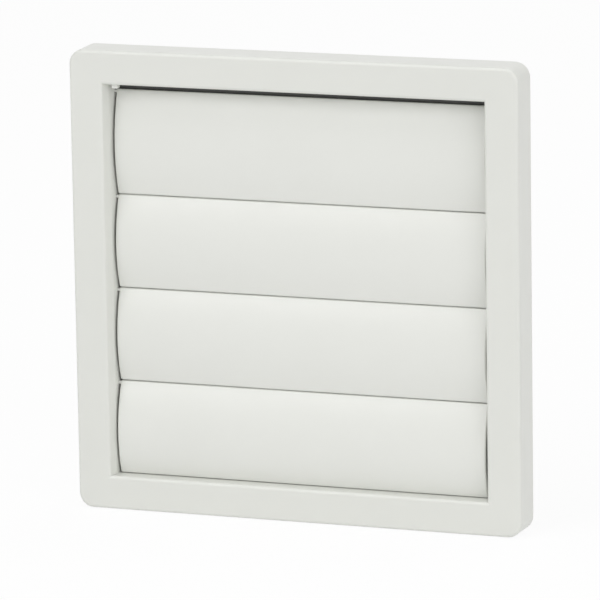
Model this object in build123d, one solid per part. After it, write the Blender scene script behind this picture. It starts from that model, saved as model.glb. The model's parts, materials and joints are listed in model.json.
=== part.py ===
from build123d import *
import math
import os

# Gravity flap vent for a round duct, millimetres.
# X runs to the right as seen from outside, Z is up, and the wall lies in the plane Y = 0.
# The flaps face -Y and the duct spigot points along +Y. The origin is on the duct axis.

# Frame moulding
frame_size = 140.0
frame_depth = 11.2
frame_corner_radius = 4.6
outer_wall_draft = 1.0  # degrees
front_edge_radius = 1.0
face_thickness = 1.8
outer_wall = 1.8
border_width = 10.4
opening_edge_radius = 1.0
reveal_inset = 1.0
reveal_depth = 3.5
inner_wall = 2.2
back_plate_thickness = 1.4

# Webs across the hollow back of the border
web_count_per_side = 4
web_thickness = 1.4
web_setback = 1.5

# Duct spigot
spigot_diameter = 99.0
spigot_wall = 1.8
spigot_length = 28.0
spigot_lead_in = 1.0

# Wall screws, in a square
screw_spacing = 96.0
screw_hole_diameter = 4.5

# Flaps
lower_flap_names = ("second_flap", "third_flap", "bottom_flap")
flap_thickness = 1.3
flap_bulge = 2.5
flap_lean = 1.3  # degrees, out at the bottom
hinge_plate_clearance = 0.35
flap_head_gap = 2.6
flap_joint_gap = 0.4
flap_sill_gap = 0.2
flap_end_gap = 0.6
flap_end_chamfer = 0.3
top_flap_extra = 3.5
bottom_lip_forward = 0.8  # the bottom flap hangs a little further out
flap_web_thickness = 1.2

# Draught bead behind the hinge edge of each lower flap, round the hinge axis
bead_reach = 1.4
bead_start_angle = -10.0  # degrees from straight back
bead_angle = 68.0

# Pivots
pin_radius = 0.5
pin_running_clearance = 0.08
pin_engagement = 1.3
pin_end_clearance = 0.3
pin_end_chamfer = 0.25
socket_boss_size = 4.8
socket_boss_height = 1.2

# Stops: a pad behind each end of a flap, and one nib over the top flap
pad_width = 2.0
pad_height = 4.0
pad_rise = 1.5
pad_clearance = 0.35
nib_width = 1.9
nib_length = 1.8
nib_drop = 1.35
nib_inset = 2.7
nib_setback = 1.6
nib_edge_radius = 0.4

opening_size = frame_size - 2 * border_width
opening_half = opening_size / 2
well_half = opening_half - reveal_inset
front_y = -frame_depth
plate_front_y = -back_plate_thickness
flap_half_length = well_half - flap_end_gap
blade_radius = flap_thickness / 2
flap_count = 1 + len(lower_flap_names)
lower_flap_height = (
    opening_size
    - flap_head_gap
    - flap_sill_gap
    - len(lower_flap_names) * flap_joint_gap
    - top_flap_extra
) / flap_count
top_hinge_y = plate_front_y - max(pin_radius, blade_radius) - hinge_plate_clearance
top_hinge_z = opening_half - flap_head_gap - blade_radius


def flap_line(z):
    """Point of the leaning line that carries every hinge and every lower edge."""
    y = top_hinge_y - math.tan(math.radians(flap_lean)) * (top_hinge_z - z)
    return (y, z)


def flap_spans():
    """Name, hinge point and lower end point of each flap, from the top down."""
    spans = []
    upper_z = opening_half - flap_head_gap
    for name in ("top_flap", *lower_flap_names):
        height = lower_flap_height + (top_flap_extra if name == "top_flap" else 0)
        lower_z = upper_z - height
        lip_y, lip_z = flap_line(lower_z + blade_radius)
        if name == lower_flap_names[-1]:
            lip_y -= bottom_lip_forward
        spans.append((name, flap_line(upper_z - blade_radius), (lip_y, lip_z)))
        upper_z = lower_z - flap_joint_gap
    return spans


def along_x(radius, start_x, length, y, z):
    """Round bar from start_x, along +X or -X by the sign of the length."""
    plane = Plane((start_x, y, z), x_dir=(0, 1, 0), z_dir=(1, 0, 0))
    return extrude(plane * Circle(radius), length)


def block(x_range, y_range, z_range):
    """Box between the given limits, each pair in either order."""
    sizes = [abs(b - a) for a, b in (x_range, y_range, z_range)]
    middle = [(a + b) / 2 for a, b in (x_range, y_range, z_range)]
    return Pos(*middle) * Box(*sizes)


def border_shell():
    """Bezel with its rounded front edge, hollow from the back, solid where the opening will be."""
    outline = Plane.XZ * RectangleRounded(frame_size, frame_size, frame_corner_radius)
    shell = extrude(outline, frame_depth, taper=outer_wall_draft)
    front = shell.faces().sort_by(Axis.Y)[0]
    shell = fillet(front.edges(), front_edge_radius)
    channel_outer = frame_size - 2 * outer_wall
    channel_inner = 2 * (opening_half + inner_wall - reveal_inset)
    ring = RectangleRounded(channel_outer, channel_outer, frame_corner_radius - outer_wall)
    ring -= Rectangle(channel_inner, 2 * (opening_half + inner_wall))
    hollow = extrude(Plane.XZ * ring, frame_depth - face_thickness, taper=outer_wall_draft)
    return shell - hollow


def opening_cut():
    """The well that the flaps hang in, with side walls that splay out to the front face."""
    plan = Polyline(
        (-opening_half, front_y),
        (-well_half, front_y + reveal_depth),
        (-well_half, plate_front_y),
        (well_half, plate_front_y),
        (well_half, front_y + reveal_depth),
        (opening_half, front_y),
        close=True,
    )
    return extrude(make_face(plan), opening_half, both=True)


def border_webs():
    """Short webs that tie the outer wall of the border to the wall of the opening."""
    middle = (opening_half + frame_size / 2) / 2
    reach = frame_size / 2 - outer_wall / 2 - opening_half - inner_wall / 2
    depth = frame_depth - web_setback - face_thickness / 2
    web = Pos(0, -web_setback - depth / 2, middle) * Box(web_thickness, depth, reach)
    pitch = opening_size / web_count_per_side
    webs = []
    for turn in range(4):
        for i in range(web_count_per_side):
            along = (i - (web_count_per_side - 1) / 2) * pitch
            webs.append(Rot(0, 90 * turn, 0) * Pos(along, 0, 0) * web)
    return webs


def spigot():
    """Open round tube behind the back plate, chamfered at its free end."""
    tube = extrude(Plane.XZ * Circle(spigot_diameter / 2), -spigot_length)
    rim = tube.edges().sort_by(Axis.Y)[-1]
    return chamfer(rim, spigot_lead_in)


def make_frame():
    frame = border_shell() - opening_cut()
    front_rim = frame.faces().sort_by(Axis.Y)[0].inner_wires()[0]
    frame = fillet(front_rim.edges(), opening_edge_radius)
    frame += border_webs()
    frame += spigot()
    bore_length = spigot_length + back_plate_thickness
    bore = Circle(spigot_diameter / 2 - spigot_wall)
    frame -= Pos(0, plate_front_y, 0) * extrude(Plane.XZ * bore, -bore_length)
    screw_hole = Circle(screw_hole_diameter / 2)
    for place in GridLocations(screw_spacing, screw_spacing, 2, 2):
        frame -= extrude(Plane.XZ * place * screw_hole, back_plate_thickness)
    socket_depth = pin_engagement + pin_end_clearance
    for name, hinge, lip in flap_spans():
        pad_z = lip[1] + pad_rise
        pad_front_y = lip[0] + (hinge[0] - lip[0]) * pad_rise / (hinge[1] - lip[1]) + pad_clearance
        for side in (-1, 1):
            wall_x = side * well_half
            boss_y = plate_front_y + back_plate_thickness / 2
            frame += block(
                (wall_x + side * inner_wall / 2, wall_x + side * (inner_wall + socket_boss_height)),
                (boss_y, hinge[0] - socket_boss_size / 2),
                (hinge[1] - socket_boss_size / 2, hinge[1] + socket_boss_size / 2),
            )
            frame -= along_x(pin_radius + pin_running_clearance, wall_x, side * socket_depth, *hinge)
            frame += block(
                (wall_x, wall_x - side * pad_width),
                (pad_front_y, plate_front_y),
                (pad_z, pad_z + pad_height),
            )
    nib_x = nib_inset - opening_half
    nib_y = front_y + nib_setback
    nib = block(
        (nib_x, nib_x + nib_width),
        (nib_y, nib_y + nib_length),
        (opening_half - nib_drop, opening_half),
    )
    nib = fillet(nib.faces().sort_by(Axis.Z)[0].edges(), nib_edge_radius)
    return frame + nib


def make_flap(hinge, lip):
    tilt = math.atan2(hinge[0] - lip[0], hinge[1] - lip[1])
    middle_y = (hinge[0] + lip[0]) / 2 - flap_bulge * math.cos(tilt)
    middle_z = (hinge[1] + lip[1]) / 2 + flap_bulge * math.sin(tilt)
    spine = ThreePointArc(hinge, (middle_y, middle_z), lip)
    blade = extrude(Plane.YZ * SlotArc(spine, flap_thickness), flap_half_length, both=True)
    ends = blade.faces().filter_by(Axis.X)
    flap = chamfer(ends.edges(), flap_end_chamfer)
    segment = Plane.YZ * make_face([spine, Line(lip, hinge)])
    for side in (-1, 1):
        web_x = side * (flap_half_length - flap_end_chamfer)
        flap += Pos(web_x, 0, 0) * extrude(segment, -side * flap_web_thickness)
        root_x = side * (flap_half_length - flap_web_thickness)
        length = flap_web_thickness + flap_end_gap + pin_engagement
        pin = along_x(pin_radius, root_x, side * length, *hinge)
        tip = pin.edges().sort_by(Axis.X)[-1 if side > 0 else 0]
        flap += chamfer(tip, pin_end_chamfer)
    return flap


def draught_bead(hinge):
    """Sector that closes the slit under the flap above and turns clear of it."""
    rim = CenterArc(hinge, bead_reach, bead_start_angle, bead_angle)
    sector = make_face([Line(hinge, rim @ 0), rim, Line(rim @ 1, hinge)])
    return extrude(Plane.YZ * sector, flap_half_length - flap_end_chamfer, both=True)


os.makedirs("parts", exist_ok=True)
export_step(make_frame(), "parts/frame.step")
for name, hinge, lip in flap_spans():
    flap = make_flap(hinge, lip)
    if name in lower_flap_names:
        flap += draught_bead(hinge)
    export_step(flap, f"parts/{name}.step")
    print(name, "hinge y, z:", [round(value, 4) for value in hinge])
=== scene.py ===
import json
import math
import bpy
from mathutils import Matrix, Vector


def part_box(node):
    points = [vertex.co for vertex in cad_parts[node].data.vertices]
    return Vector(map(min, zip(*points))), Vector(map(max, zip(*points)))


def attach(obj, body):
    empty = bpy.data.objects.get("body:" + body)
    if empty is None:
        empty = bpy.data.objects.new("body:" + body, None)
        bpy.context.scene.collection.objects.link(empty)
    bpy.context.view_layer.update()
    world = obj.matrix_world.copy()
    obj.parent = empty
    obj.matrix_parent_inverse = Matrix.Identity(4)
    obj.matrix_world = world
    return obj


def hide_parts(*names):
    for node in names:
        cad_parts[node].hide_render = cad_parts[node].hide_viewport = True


# Wall vent with four hanging flaps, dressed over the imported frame. Metres, wall plane at y = 0.

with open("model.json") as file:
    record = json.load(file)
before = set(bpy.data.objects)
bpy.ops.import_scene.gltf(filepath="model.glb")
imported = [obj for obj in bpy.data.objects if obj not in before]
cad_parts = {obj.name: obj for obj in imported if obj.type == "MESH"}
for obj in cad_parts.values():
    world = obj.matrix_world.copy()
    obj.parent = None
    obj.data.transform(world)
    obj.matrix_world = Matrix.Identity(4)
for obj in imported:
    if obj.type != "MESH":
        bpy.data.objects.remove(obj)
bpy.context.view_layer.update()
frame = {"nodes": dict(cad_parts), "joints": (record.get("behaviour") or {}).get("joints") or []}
scene = bpy.context.scene
print("vent: frame loaded with", len(frame["nodes"]), "nodes")

mm = 0.001


def put(tree, kind, inputs=None, **settings):
    node = tree.nodes.new(kind)
    for name, value in settings.items():
        setattr(node, name, value)
    for key, value in (inputs or {}).items():
        if isinstance(value, bpy.types.NodeSocket):
            tree.links.new(value, node.inputs[key])
        else:
            node.inputs[key].default_value = value
    return node


def calc(tree, operation, a, b=0.0):
    return put(tree, "ShaderNodeMath", {0: a, 1: b}, operation=operation).outputs[0]


def vec(tree, operation, a, b=(0.0, 0.0, 0.0)):
    return put(tree, "ShaderNodeVectorMath", {0: a, 1: b}, operation=operation).outputs[0]


def join(tree, x, y, z):
    return put(tree, "ShaderNodeCombineXYZ", {0: x, 1: y, 2: z}).outputs[0]


# Moulded plastic: slow tone drift, fine tool texture and a satin gloss that wanders a little; on the
# frame, painted shade over the top flap's hinge

plasticLook = {
    "framePlastic": {
        "pale": (0.745, 0.752, 0.712, 1.0),
        "deep": (0.722, 0.73, 0.69, 1.0),
        "driftScale": 26.0,
        "gloss": (0.28, 0.35),
        "grainScale": 5200.0,
        "grainDepth": 0.006 * mm,
        "rippleScale": 160.0,
        "rippleDepth": 0.03 * mm,
        "edgeSoft": 0.15 * mm,
        "paintedSlotShade": (0.06, 0.06, 0.055, 1.0),  # painted shade: near-black strip standing for the shadow in the deep gap over the top flap's hinge
        "slotHalf": 58.65 * mm,
        "slotHeights": (55.9 * mm, 59.65 * mm),
        "slotDepths": (-3.0 * mm, -1.0 * mm),
        "slotFade": 0.6 * mm,
    },
    "flapPlastic": {
        "pale": (0.775, 0.782, 0.745, 1.0),
        "deep": (0.752, 0.76, 0.722, 1.0),
        "driftScale": 34.0,
        "gloss": (0.34, 0.42),
        "grainScale": 5200.0,
        "grainDepth": 0.005 * mm,
        "rippleScale": 120.0,
        "rippleDepth": 0.04 * mm,
        "edgeSoft": 0.12 * mm,
    },
}
plasticFineness = {
    "driftDetail": 3.0,
    "grainDetail": 2.0,
    "rippleDetail": 1.0,
    "rippleSpan": (0.3, 0.7),  # part of the ripple's range that moves the gloss
    "rippleStrength": 0.5,
    "grainStrength": 0.6,
    "edgeSamples": 6,
    "refraction": 1.5,
}


def cloud(tree, place, scale, detail):
    noise = put(tree, "ShaderNodeTexNoise", {"Vector": place, "Scale": scale, "Detail": detail})
    return noise.outputs["Fac"]


# Painted shade: darkens the frame's colour in a box over the top flap's hinge, standing for the shadow of
# a deep gap there
def paintSlotShade(tree, place, colour, look):
    spot = put(tree, "ShaderNodeSeparateXYZ", {0: place}).outputs
    low, high = look["slotHeights"]
    mouth, back = look["slotDepths"]
    amount = calc(tree, "LESS_THAN", calc(tree, "ABSOLUTE", spot[0]), look["slotHalf"])
    for value, start, end in ((spot[1], mouth, back), (spot[2], low, high)):
        rise = put(tree, "ShaderNodeMapRange", {
            "Value": value,
            "From Min": start,
            "From Max": start + look["slotFade"],
        })
        amount = calc(tree, "MULTIPLY", amount, rise.outputs["Result"])
        amount = calc(tree, "MULTIPLY", amount, calc(tree, "LESS_THAN", value, end))
    blend = put(tree, "ShaderNodeMix", data_type="RGBA")
    blend.inputs[7].default_value = look["paintedSlotShade"]
    tree.links.new(amount, blend.inputs[0])
    tree.links.new(colour, blend.inputs[6])
    return blend.outputs[2]


def mouldedPlastic(label):
    look = plasticLook[label]
    material = bpy.data.materials.new(label)
    material.use_nodes = True
    tree = material.node_tree
    tree.nodes.clear()
    place = put(tree, "ShaderNodeTexCoord").outputs["Object"]
    drift = cloud(tree, place, look["driftScale"], plasticFineness["driftDetail"])
    tone = put(tree, "ShaderNodeMix", data_type="RGBA")
    tone.inputs[6].default_value = look["deep"]
    tone.inputs[7].default_value = look["pale"]
    tree.links.new(drift, tone.inputs[0])
    colour = tone.outputs[2]
    # painted shade in the slot over the top flap's hinge
    if "paintedSlotShade" in look:
        colour = paintSlotShade(tree, place, colour, look)
    grain = cloud(tree, place, look["grainScale"], plasticFineness["grainDetail"])
    ripple = cloud(tree, place, look["rippleScale"], plasticFineness["rippleDetail"])
    gloss = put(tree, "ShaderNodeMapRange", {
        "Value": ripple,
        "From Min": plasticFineness["rippleSpan"][0],
        "From Max": plasticFineness["rippleSpan"][1],
        "To Min": look["gloss"][0],
        "To Max": look["gloss"][1],
    })
    edgeSamples = plasticFineness["edgeSamples"]
    soft = put(tree, "ShaderNodeBevel", {"Radius": look["edgeSoft"]}, samples=edgeSamples)
    wave = put(tree, "ShaderNodeBump", {
        "Strength": plasticFineness["rippleStrength"],
        "Distance": look["rippleDepth"],
        "Height": ripple,
        "Normal": soft.outputs["Normal"],
    })
    skin = put(tree, "ShaderNodeBump", {
        "Strength": plasticFineness["grainStrength"],
        "Distance": look["grainDepth"],
        "Height": grain,
        "Normal": wave.outputs["Normal"],
    })
    shader = put(tree, "ShaderNodeBsdfPrincipled", {
        "Base Color": colour,
        "Roughness": gloss.outputs["Result"],
        "Normal": skin.outputs["Normal"],
        "IOR": plasticFineness["refraction"],
    })
    put(tree, "ShaderNodeOutputMaterial", {"Surface": shader.outputs["BSDF"]})
    return material


framePlastic = mouldedPlastic("framePlastic")
flapPlastic = mouldedPlastic("flapPlastic")
frameNode = frame["nodes"]["frame"]
frameNode.data.materials.clear()
frameNode.data.materials.append(framePlastic)
print("vent: frame moulding in satin plastic")


# Flaps: one rule, a rounded slab bent on an arc, with end webs, pivot pins and a draught bead

flapSizes = {
    "thickness": 1.3 * mm,
    "bulge": 2.5 * mm,
    "lean": math.radians(1.3),
    "lowestLipForward": 0.8 * mm,
    "halfLength": 58.0 * mm,
    "edgeRound": 0.5 * mm,
    "webThickness": 1.2 * mm,
    "webInset": 0.3 * mm,
    "pinRadius": 0.5 * mm,
    "pinReach": 1.9 * mm,
    "pinLeadIn": 0.25 * mm,
    "beadReach": 1.4 * mm,
    "beadStart": math.radians(-10.0),
    "beadSpan": math.radians(68.0),
}
flapFineness = {
    "round": 4,
    "straight": 2,
    "wall": 1,
    "curve": 56,
    "pinSides": 32,
    "beadSteps": 14,
    "webShare": 0.97,  # the webs stop a little short of the blade's ends
    "beadCore": 0.1,  # share of its reach at which the bead begins
    "mergeReach": 0.004 * mm,  # slivers that the union leaves
    "sharpAngle": math.radians(40.0),
}
flapInputs = (
    ("Half Length", "NodeSocketFloat"),
    ("Half Thickness", "NodeSocketFloat"),
    ("Chord", "NodeSocketFloat"),
    ("Bulge", "NodeSocketFloat"),
    ("Edge Round", "NodeSocketFloat"),
    ("Web Thickness", "NodeSocketFloat"),
    ("Web Inset", "NodeSocketFloat"),
    ("Pin Radius", "NodeSocketFloat"),
    ("Pin Reach", "NodeSocketFloat"),
    ("Pin Lead In", "NodeSocketFloat"),
    ("Bead Reach", "NodeSocketFloat"),
    ("Bead Start", "NodeSocketFloat"),
    ("Bead Span", "NodeSocketFloat"),
    ("Has Bead", "NodeSocketBool"),
    ("Lean", "NodeSocketFloat"),
    ("Hinge", "NodeSocketVector"),
    ("Plastic", "NodeSocketMaterial"),
)


def flapTree():
    tree = bpy.data.node_groups.new("hangingFlap", "GeometryNodeTree")
    for name, kind in flapInputs:
        tree.interface.new_socket(name, in_out="INPUT", socket_type=kind)
    tree.interface.new_socket("Flap", in_out="OUTPUT", socket_type="NodeSocketGeometry")
    size = put(tree, "NodeGroupInput").outputs
    place = put(tree, "GeometryNodeInputPosition").outputs[0]

    # arc through the hinge and the lip
    halfChord = calc(tree, "MULTIPLY", size["Chord"], 0.5)
    chordSquare = calc(tree, "POWER", halfChord, 2.0)
    squares = calc(tree, "ADD", chordSquare, calc(tree, "POWER", size["Bulge"], 2.0))
    radius = calc(tree, "DIVIDE", squares, calc(tree, "MULTIPLY", size["Bulge"], 2.0))
    halfAngle = calc(tree, "ARCSINE", calc(tree, "DIVIDE", halfChord, radius))
    halfArc = calc(tree, "MULTIPLY", radius, halfAngle)
    centreY = calc(tree, "SUBTRACT", radius, size["Bulge"])

    def onArc(angle, reach):
        y = calc(tree, "SUBTRACT", centreY, calc(tree, "MULTIPLY", reach, calc(tree, "COSINE", angle)))
        z = calc(tree, "SUBTRACT", calc(tree, "MULTIPLY", reach, calc(tree, "SINE", angle)), halfChord)
        return y, z

    # slab with every edge rounded, bent on the arc
    steps = [2 * flapFineness["round"] + flapFineness[part] for part in ("straight", "wall", "curve")]
    slab = put(tree, "GeometryNodeMeshCube", {
        "Size": (2.0, 2.0, 2.0),
        "Vertices X": steps[0] + 1,
        "Vertices Y": steps[1] + 1,
        "Vertices Z": steps[2] + 1,
    })
    flat = [1.0 - 2.0 * flapFineness["round"] / count for count in steps]
    distance = vec(tree, "ABSOLUTE", place)
    side = vec(tree, "SIGN", place)
    inner = join(
        tree,
        calc(tree, "SUBTRACT", size["Half Length"], size["Edge Round"]),
        calc(tree, "SUBTRACT", size["Half Thickness"], size["Edge Round"]),
        calc(tree, "SUBTRACT", calc(tree, "ADD", halfArc, size["Half Thickness"]), size["Edge Round"]),
    )
    core = vec(tree, "MULTIPLY", vec(tree, "DIVIDE", vec(tree, "MINIMUM", distance, flat), flat), inner)
    beyond = vec(tree, "MAXIMUM", vec(tree, "SUBTRACT", distance, flat), (0.0, 0.0, 0.0))
    outward = vec(tree, "NORMALIZE", vec(tree, "DIVIDE", beyond, [1.0 - share for share in flat]))
    edge = put(tree, "ShaderNodeVectorMath", {0: outward, "Scale": size["Edge Round"]}, operation="SCALE")
    rounded = vec(tree, "MULTIPLY", vec(tree, "ADD", core, edge.outputs[0]), side)
    block = put(tree, "ShaderNodeSeparateXYZ", {0: rounded}).outputs
    bendAngle = calc(tree, "DIVIDE", block[2], radius)
    bendY, bendZ = onArc(bendAngle, calc(tree, "SUBTRACT", radius, block[1]))
    blade = put(tree, "GeometryNodeSetPosition", {
        "Geometry": slab.outputs["Mesh"],
        "Position": join(tree, block[0], bendY, bendZ),
    }).outputs[0]

    # web that closes each end between the arc and its chord
    plate = put(tree, "GeometryNodeMeshCube", {
        "Size": (2.0, 2.0, 2.0),
        "Vertices X": 2,
        "Vertices Y": 2,
        "Vertices Z": flapFineness["curve"] // 2,
    })
    corner = put(tree, "ShaderNodeSeparateXYZ", {0: place}).outputs
    webAngle = calc(tree, "MULTIPLY", halfAngle, flapFineness["webShare"])
    webY, webZ = onArc(calc(tree, "MULTIPLY", corner[2], webAngle), radius)
    depth = calc(tree, "MULTIPLY", calc(tree, "SUBTRACT", 1.0, corner[1]), 0.5)
    web = put(tree, "GeometryNodeSetPosition", {
        "Geometry": plate.outputs["Mesh"],
        "Position": join(
            tree,
            calc(tree, "MULTIPLY", corner[0], calc(tree, "MULTIPLY", size["Web Thickness"], 0.5)),
            calc(tree, "MULTIPLY", webY, depth),
            webZ,
        ),
    }).outputs[0]
    webEnd = calc(tree, "SUBTRACT", size["Half Length"], size["Web Inset"])
    webX = calc(tree, "SUBTRACT", webEnd, calc(tree, "MULTIPLY", size["Web Thickness"], 0.5))

    # pin with a lead-in at its tip
    rod = put(tree, "GeometryNodeMeshCylinder", {
        "Vertices": flapFineness["pinSides"],
        "Side Segments": 2,
        "Radius": size["Pin Radius"],
        "Depth": 1.0,
    })
    pinRoot = calc(tree, "SUBTRACT", size["Half Length"], size["Web Thickness"])
    pinNeck = calc(tree, "SUBTRACT", size["Pin Reach"], size["Pin Lead In"])
    shank = calc(tree, "ADD", pinNeck, size["Web Thickness"])
    along = calc(tree, "MULTIPLY", calc(tree, "ADD", corner[2], 0.5), 2.0)
    lead = calc(tree, "MAXIMUM", calc(tree, "SUBTRACT", along, 1.0), 0.0)
    reach = calc(tree, "ADD", pinRoot, calc(tree, "MULTIPLY", shank, calc(tree, "MINIMUM", along, 1.0)))
    reach = calc(tree, "ADD", reach, calc(tree, "MULTIPLY", size["Pin Lead In"], lead))
    taper = calc(tree, "DIVIDE", size["Pin Lead In"], size["Pin Radius"])
    waist = calc(tree, "SUBTRACT", 1.0, calc(tree, "MULTIPLY", taper, lead))

    # bead behind the hinge edge, a sector round the hinge axis
    strip = put(tree, "GeometryNodeMeshCube", {
        "Size": (2.0, 2.0, 2.0),
        "Vertices X": 2,
        "Vertices Y": 2,
        "Vertices Z": flapFineness["beadSteps"],
    })
    sweep = calc(tree, "MULTIPLY", calc(tree, "ADD", corner[2], 1.0), 0.5)
    turn = calc(tree, "ADD", calc(tree, "MULTIPLY", sweep, size["Bead Span"]), size["Bead Start"])
    middle = (1.0 + flapFineness["beadCore"]) / 2
    share = calc(tree, "ADD", middle, calc(tree, "MULTIPLY", corner[1], 1.0 - middle))
    arm = calc(tree, "MULTIPLY", size["Bead Reach"], share)
    bead = put(tree, "GeometryNodeSetPosition", {
        "Geometry": strip.outputs["Mesh"],
        "Position": join(
            tree,
            calc(tree, "MULTIPLY", corner[0], webEnd),
            calc(tree, "MULTIPLY", arm, calc(tree, "COSINE", turn)),
            calc(tree, "MULTIPLY", arm, calc(tree, "SINE", turn)),
        ),
    }).outputs[0]
    keptBead = put(tree, "GeometryNodeSwitch", {
        "Switch": size["Has Bead"],
        "True": bead,
    }, input_type="GEOMETRY")

    whole = put(tree, "GeometryNodeMeshBoolean", operation="UNION", solver="EXACT")
    parts = [blade, keptBead.outputs[0]]
    for sign in (1.0, -1.0):
        shift = join(tree, calc(tree, "MULTIPLY", webX, sign), 0.0, 0.0)
        endWeb = put(tree, "GeometryNodeTransform", {"Geometry": web, "Translation": shift})
        parts.append(endWeb.outputs[0])
        pin = put(tree, "GeometryNodeSetPosition", {
            "Geometry": rod.outputs["Mesh"],
            "Position": join(
                tree,
                calc(tree, "MULTIPLY", reach, sign),
                calc(tree, "MULTIPLY", calc(tree, "MULTIPLY", corner[0], waist), sign),
                calc(tree, "MULTIPLY", corner[1], waist),
            ),
        })
        parts.append(pin.outputs[0])
    for part in parts:
        tree.links.new(part, whole.inputs["Mesh 2"])
    clean = put(tree, "GeometryNodeMergeByDistance", {
        "Geometry": whole.outputs[0],
        "Distance": flapFineness["mergeReach"],
    })
    hung = put(tree, "GeometryNodeTransform", {
        "Geometry": clean.outputs[0],
        "Translation": size["Hinge"],
        "Rotation": join(tree, calc(tree, "MULTIPLY", size["Lean"], -1.0), 0.0, 0.0),
    })
    solid = put(tree, "GeometryNodeRealizeInstances", {"Geometry": hung.outputs[0]})
    dressed = put(tree, "GeometryNodeSetMaterial", {
        "Geometry": solid.outputs[0],
        "Material": size["Plastic"],
    })
    put(tree, "NodeGroupOutput", {0: dressed.outputs[0]})
    return tree


def hangFlap(name, joint, tree):
    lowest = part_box(name)[0]
    hinge = Vector(joint["pos_m"])
    halfThickness = flapSizes["thickness"] / 2
    drop = hinge.z - (lowest.z + halfThickness)
    forward = drop * math.tan(flapSizes["lean"])
    if name == "bottom_flap":
        forward += flapSizes["lowestLipForward"]
    lean = math.atan2(forward, drop)
    values = {
        "Half Length": flapSizes["halfLength"],
        "Half Thickness": halfThickness,
        "Chord": math.hypot(drop, forward),
        "Bulge": flapSizes["bulge"],
        "Edge Round": flapSizes["edgeRound"],
        "Web Thickness": flapSizes["webThickness"],
        "Web Inset": flapSizes["webInset"],
        "Pin Radius": flapSizes["pinRadius"],
        "Pin Reach": flapSizes["pinReach"],
        "Pin Lead In": flapSizes["pinLeadIn"],
        "Bead Reach": flapSizes["beadReach"],
        "Bead Start": flapSizes["beadStart"] + lean,
        "Bead Span": flapSizes["beadSpan"],
        "Has Bead": name != "top_flap",
        "Lean": lean,
        "Hinge": hinge,
        "Plastic": flapPlastic,
    }
    maker = bpy.data.objects.new(name + "_maker", bpy.data.meshes.new(name + "_maker"))
    scene.collection.objects.link(maker)
    modifier = maker.modifiers.new("flap", "NODES")
    modifier.node_group = tree
    for item in tree.interface.items_tree:
        if item.in_out == "INPUT":
            modifier[item.identifier] = values[item.name]
    bpy.context.view_layer.update()
    depsgraph = bpy.context.evaluated_depsgraph_get()
    mesh = bpy.data.meshes.new_from_object(maker.evaluated_get(depsgraph))
    bpy.data.objects.remove(maker)
    mesh.shade_smooth()
    mesh.set_sharp_from_angle(angle=flapFineness["sharpAngle"])
    flap = bpy.data.objects.new(name + "_moulding", mesh)
    scene.collection.objects.link(flap)
    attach(flap, name)
    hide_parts(name)
    print("vent:", name, "moulded with", len(mesh.polygons), "faces")


flapRule = flapTree()
for joint in frame["joints"]:
    hangFlap(joint["child"], joint, flapRule)


# Stage: white floor with a faint shadow, broad lamps left, right and above, a dim sky behind

stageLook = {
    "floorHeight": -70.0 * mm,
    "floorSize": 14.0,
    "floorGlow": 0.93,
    "floorTone": (0.95, 0.95, 0.95, 1.0),
    "skyFront": 0.43,
    "skyBack": 0.26,
    "duskStart": 0.1,  # share of +Y in the direction where the sky begins to fade
    "duskEnd": 0.6,
}
lampLook = {
    "keyLamp": {"place": (-0.9, -1.9, 1.3), "size": 1.2, "power": 13.2},
    "rightLamp": {"place": (1.9, -1.9, 0.6), "size": 1.6, "power": 14.8},
    "sideLamp": {"place": (2.4, -0.6, 0.6), "size": 1.6, "power": 9.0},
    "topLamp": {"place": (-0.5, -0.7, 2.2), "size": 1.4, "power": 12.0},
    "backLamp": {"place": (0.5, 1.1, 2.4), "size": 1.2, "power": 12.0},
}


def whiteRays(tree):
    rays = put(tree, "ShaderNodeLightPath").outputs
    seen = calc(tree, "MAXIMUM", rays["Is Camera Ray"], rays["Is Glossy Ray"])
    return calc(tree, "MAXIMUM", seen, rays["Is Transmission Ray"])


def layFloor():
    half = stageLook["floorSize"] / 2
    corners = [(-half, -half), (half, -half), (half, half), (-half, half)]
    mesh = bpy.data.meshes.new("floor")
    mesh.from_pydata([(x, y, stageLook["floorHeight"]) for x, y in corners], [], [(0, 1, 2, 3)])
    floor = bpy.data.objects.new("floor", mesh)
    scene.collection.objects.link(floor)
    material = bpy.data.materials.new("floorPaper")
    material.use_nodes = True
    tree = material.node_tree
    tree.nodes.clear()
    paper = put(tree, "ShaderNodeBsdfDiffuse", {"Color": stageLook["floorTone"]})
    glow = put(tree, "ShaderNodeEmission", {"Strength": 1.0})
    amount = calc(tree, "MULTIPLY", whiteRays(tree), stageLook["floorGlow"])
    blend = put(tree, "ShaderNodeMixShader", {0: amount, 1: paper.outputs[0], 2: glow.outputs[0]})
    put(tree, "ShaderNodeOutputMaterial", {"Surface": blend.outputs[0]})
    mesh.materials.append(material)


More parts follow.
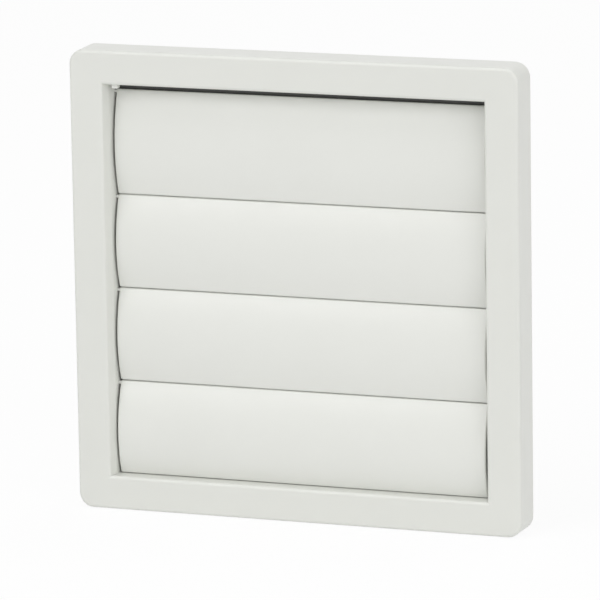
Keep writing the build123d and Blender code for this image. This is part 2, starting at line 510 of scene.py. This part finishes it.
def lightSky():
    world = bpy.data.worlds.new("studioSky")
    scene.world = world
    world.use_nodes = True
    tree = world.node_tree
    tree.nodes.clear()
    bearing = put(tree, "ShaderNodeTexCoord").outputs["Generated"]
    heading = put(tree, "ShaderNodeSeparateXYZ", {0: bearing})
    dusk = put(tree, "ShaderNodeMapRange", {
        "Value": heading.outputs[1],
        "From Min": stageLook["duskStart"],
        "From Max": stageLook["duskEnd"],
        "To Min": stageLook["skyFront"],
        "To Max": stageLook["skyBack"],
    })
    level = calc(tree, "MAXIMUM", whiteRays(tree), dusk.outputs["Result"])
    sky = put(tree, "ShaderNodeBackground", {"Color": (1.0, 1.0, 1.0, 1.0), "Strength": level})
    put(tree, "ShaderNodeOutputWorld", {"Surface": sky.outputs[0]})


def hangLamp(name):
    look = lampLook[name]
    data = bpy.data.lights.new(name, "AREA")
    data.shape = "SQUARE"
    data.size = look["size"]
    data.energy = look["power"]
    lamp = bpy.data.objects.new(name, data)
    scene.collection.objects.link(lamp)
    lamp.location = look["place"]
    lamp.rotation_euler = (-Vector(look["place"])).to_track_quat("-Z", "Y").to_euler()


layFloor()
lightSky()
for lampName in lampLook:
    hangLamp(lampName)
print("vent: stage lit")


# Camera fitted to the photograph's edges

cameraFit = {
    "place": (549.227 * mm, -1519.293 * mm, 338.441 * mm),
    "forward": (-0.33367845, 0.91954117, -0.20761198),
    "up": (-0.05594981, 0.200528, 0.97808903),
    "lens": 333.973,
    "sensor": 36.0,
    "farClip": 100.0,
}


def setCamera():
    data = bpy.data.cameras.new("photoCamera")
    data.lens = cameraFit["lens"]
    data.sensor_width = cameraFit["sensor"]
    data.clip_end = cameraFit["farClip"]
    camera = bpy.data.objects.new("photoCamera", data)
    scene.collection.objects.link(camera)
    ahead = Vector(cameraFit["forward"]).normalized()
    right = ahead.cross(Vector(cameraFit["up"])).normalized()
    up = right.cross(ahead)
    turn = Matrix((right, up, -ahead)).transposed().to_4x4()
    camera.matrix_world = Matrix.Translation(cameraFit["place"]) @ turn
    scene.camera = camera


setCamera()
scene.view_settings.view_transform = "Standard"
print("vent: camera set")
